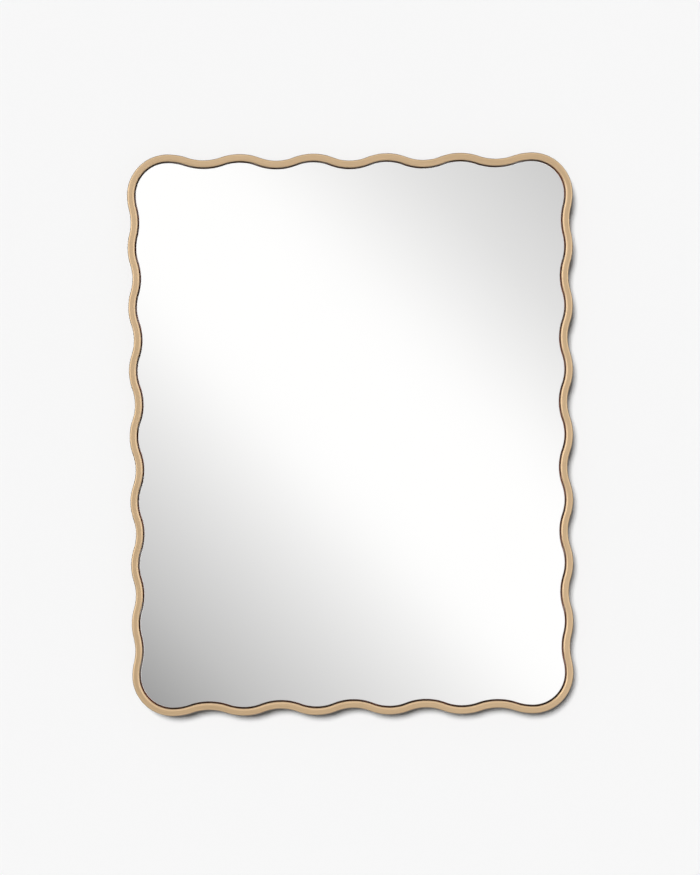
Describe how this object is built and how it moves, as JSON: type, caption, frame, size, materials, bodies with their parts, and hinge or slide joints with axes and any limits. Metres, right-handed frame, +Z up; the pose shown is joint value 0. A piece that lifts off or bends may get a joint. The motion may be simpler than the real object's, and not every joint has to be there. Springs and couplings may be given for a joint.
{
  "type": "wall mirror",
  "caption": "Upright wall mirror with round corners in a narrow wavy frame of satin brass-tone tube, hung by swinging rings on its backing board.",
  "frame": {"origin": "middle of the mirror's outline on the wall plane, where the rear bumpers touch the wall", "axes": "+Z up, +X to the right as seen from the front, +Y into the wall; the glass faces -Y"},
  "size_m": [0.6, 0.027, 0.76],
  "materials": {
    "brass_tube": "satin, finely brushed along the tube, clear lacquered",
    "silvered_glass": "polished float glass, silvered on the back, polished arris",
    "black_board": "fibreboard, sealed with matt black paint",
    "foam_tape": "white closed-cell foam",
    "raw_steel": "mill finish, oiled",
    "zinc_steel": "bright zinc plate",
    "rubber": "soft matt rubber"
  },
  "bodies": {
    "mirror": {"top_rail": "brass_tube", "bottom_rail": "brass_tube", "left_stile": "brass_tube", "right_stile": "brass_tube", "fixing_tab_top_1": "brass_tube", "fixing_tab_top_2": "brass_tube", "fixing_tab_right_1": "brass_tube", "fixing_tab_right_2": "brass_tube", "fixing_tab_right_3": "brass_tube", "fixing_tab_bottom_1": "brass_tube", "fixing_tab_bottom_2": "brass_tube", "fixing_tab_left_1": "brass_tube", "fixing_tab_left_2": "brass_tube", "fixing_tab_left_3": "brass_tube", "tab_welds": "brass_tube", "mirror_glass": "silvered_glass", "backing_board": "black_board", "mounting_tape_1": "foam_tape", "mounting_tape_2": "foam_tape", "mounting_tape_3": "foam_tape", "mounting_tape_4": "foam_tape", "corner_spigot_top_left": "raw_steel", "corner_spigot_top_right": "raw_steel", "corner_spigot_bottom_right": "raw_steel", "corner_spigot_bottom_left": "raw_steel", "tab_screws": "zinc_steel", "hanger_screws": "zinc_steel", "left_hanger_strap": "zinc_steel", "right_hanger_strap": "zinc_steel", "wall_bumper_top_left": "rubber", "wall_bumper_top_right": "rubber", "wall_bumper_bottom_right": "rubber", "wall_bumper_bottom_left": "rubber"},
    "left_ring": {"left_hanger_ring": "zinc_steel"},
    "right_ring": {"right_hanger_ring": "zinc_steel"}
  },
  "joints": [
    {"name": "left_ring_swing", "type": "hinge", "parent": "mirror", "child": "left_ring", "pos_m": [-0.205, -0.0062, 0.2], "axis": [1, 0, 0], "range_deg": [0, 180]},
    {"name": "right_ring_swing", "type": "hinge", "parent": "mirror", "child": "right_ring", "pos_m": [0.205, -0.0062, 0.2], "axis": [1, 0, 0], "range_deg": [0, 180]}
  ]
}
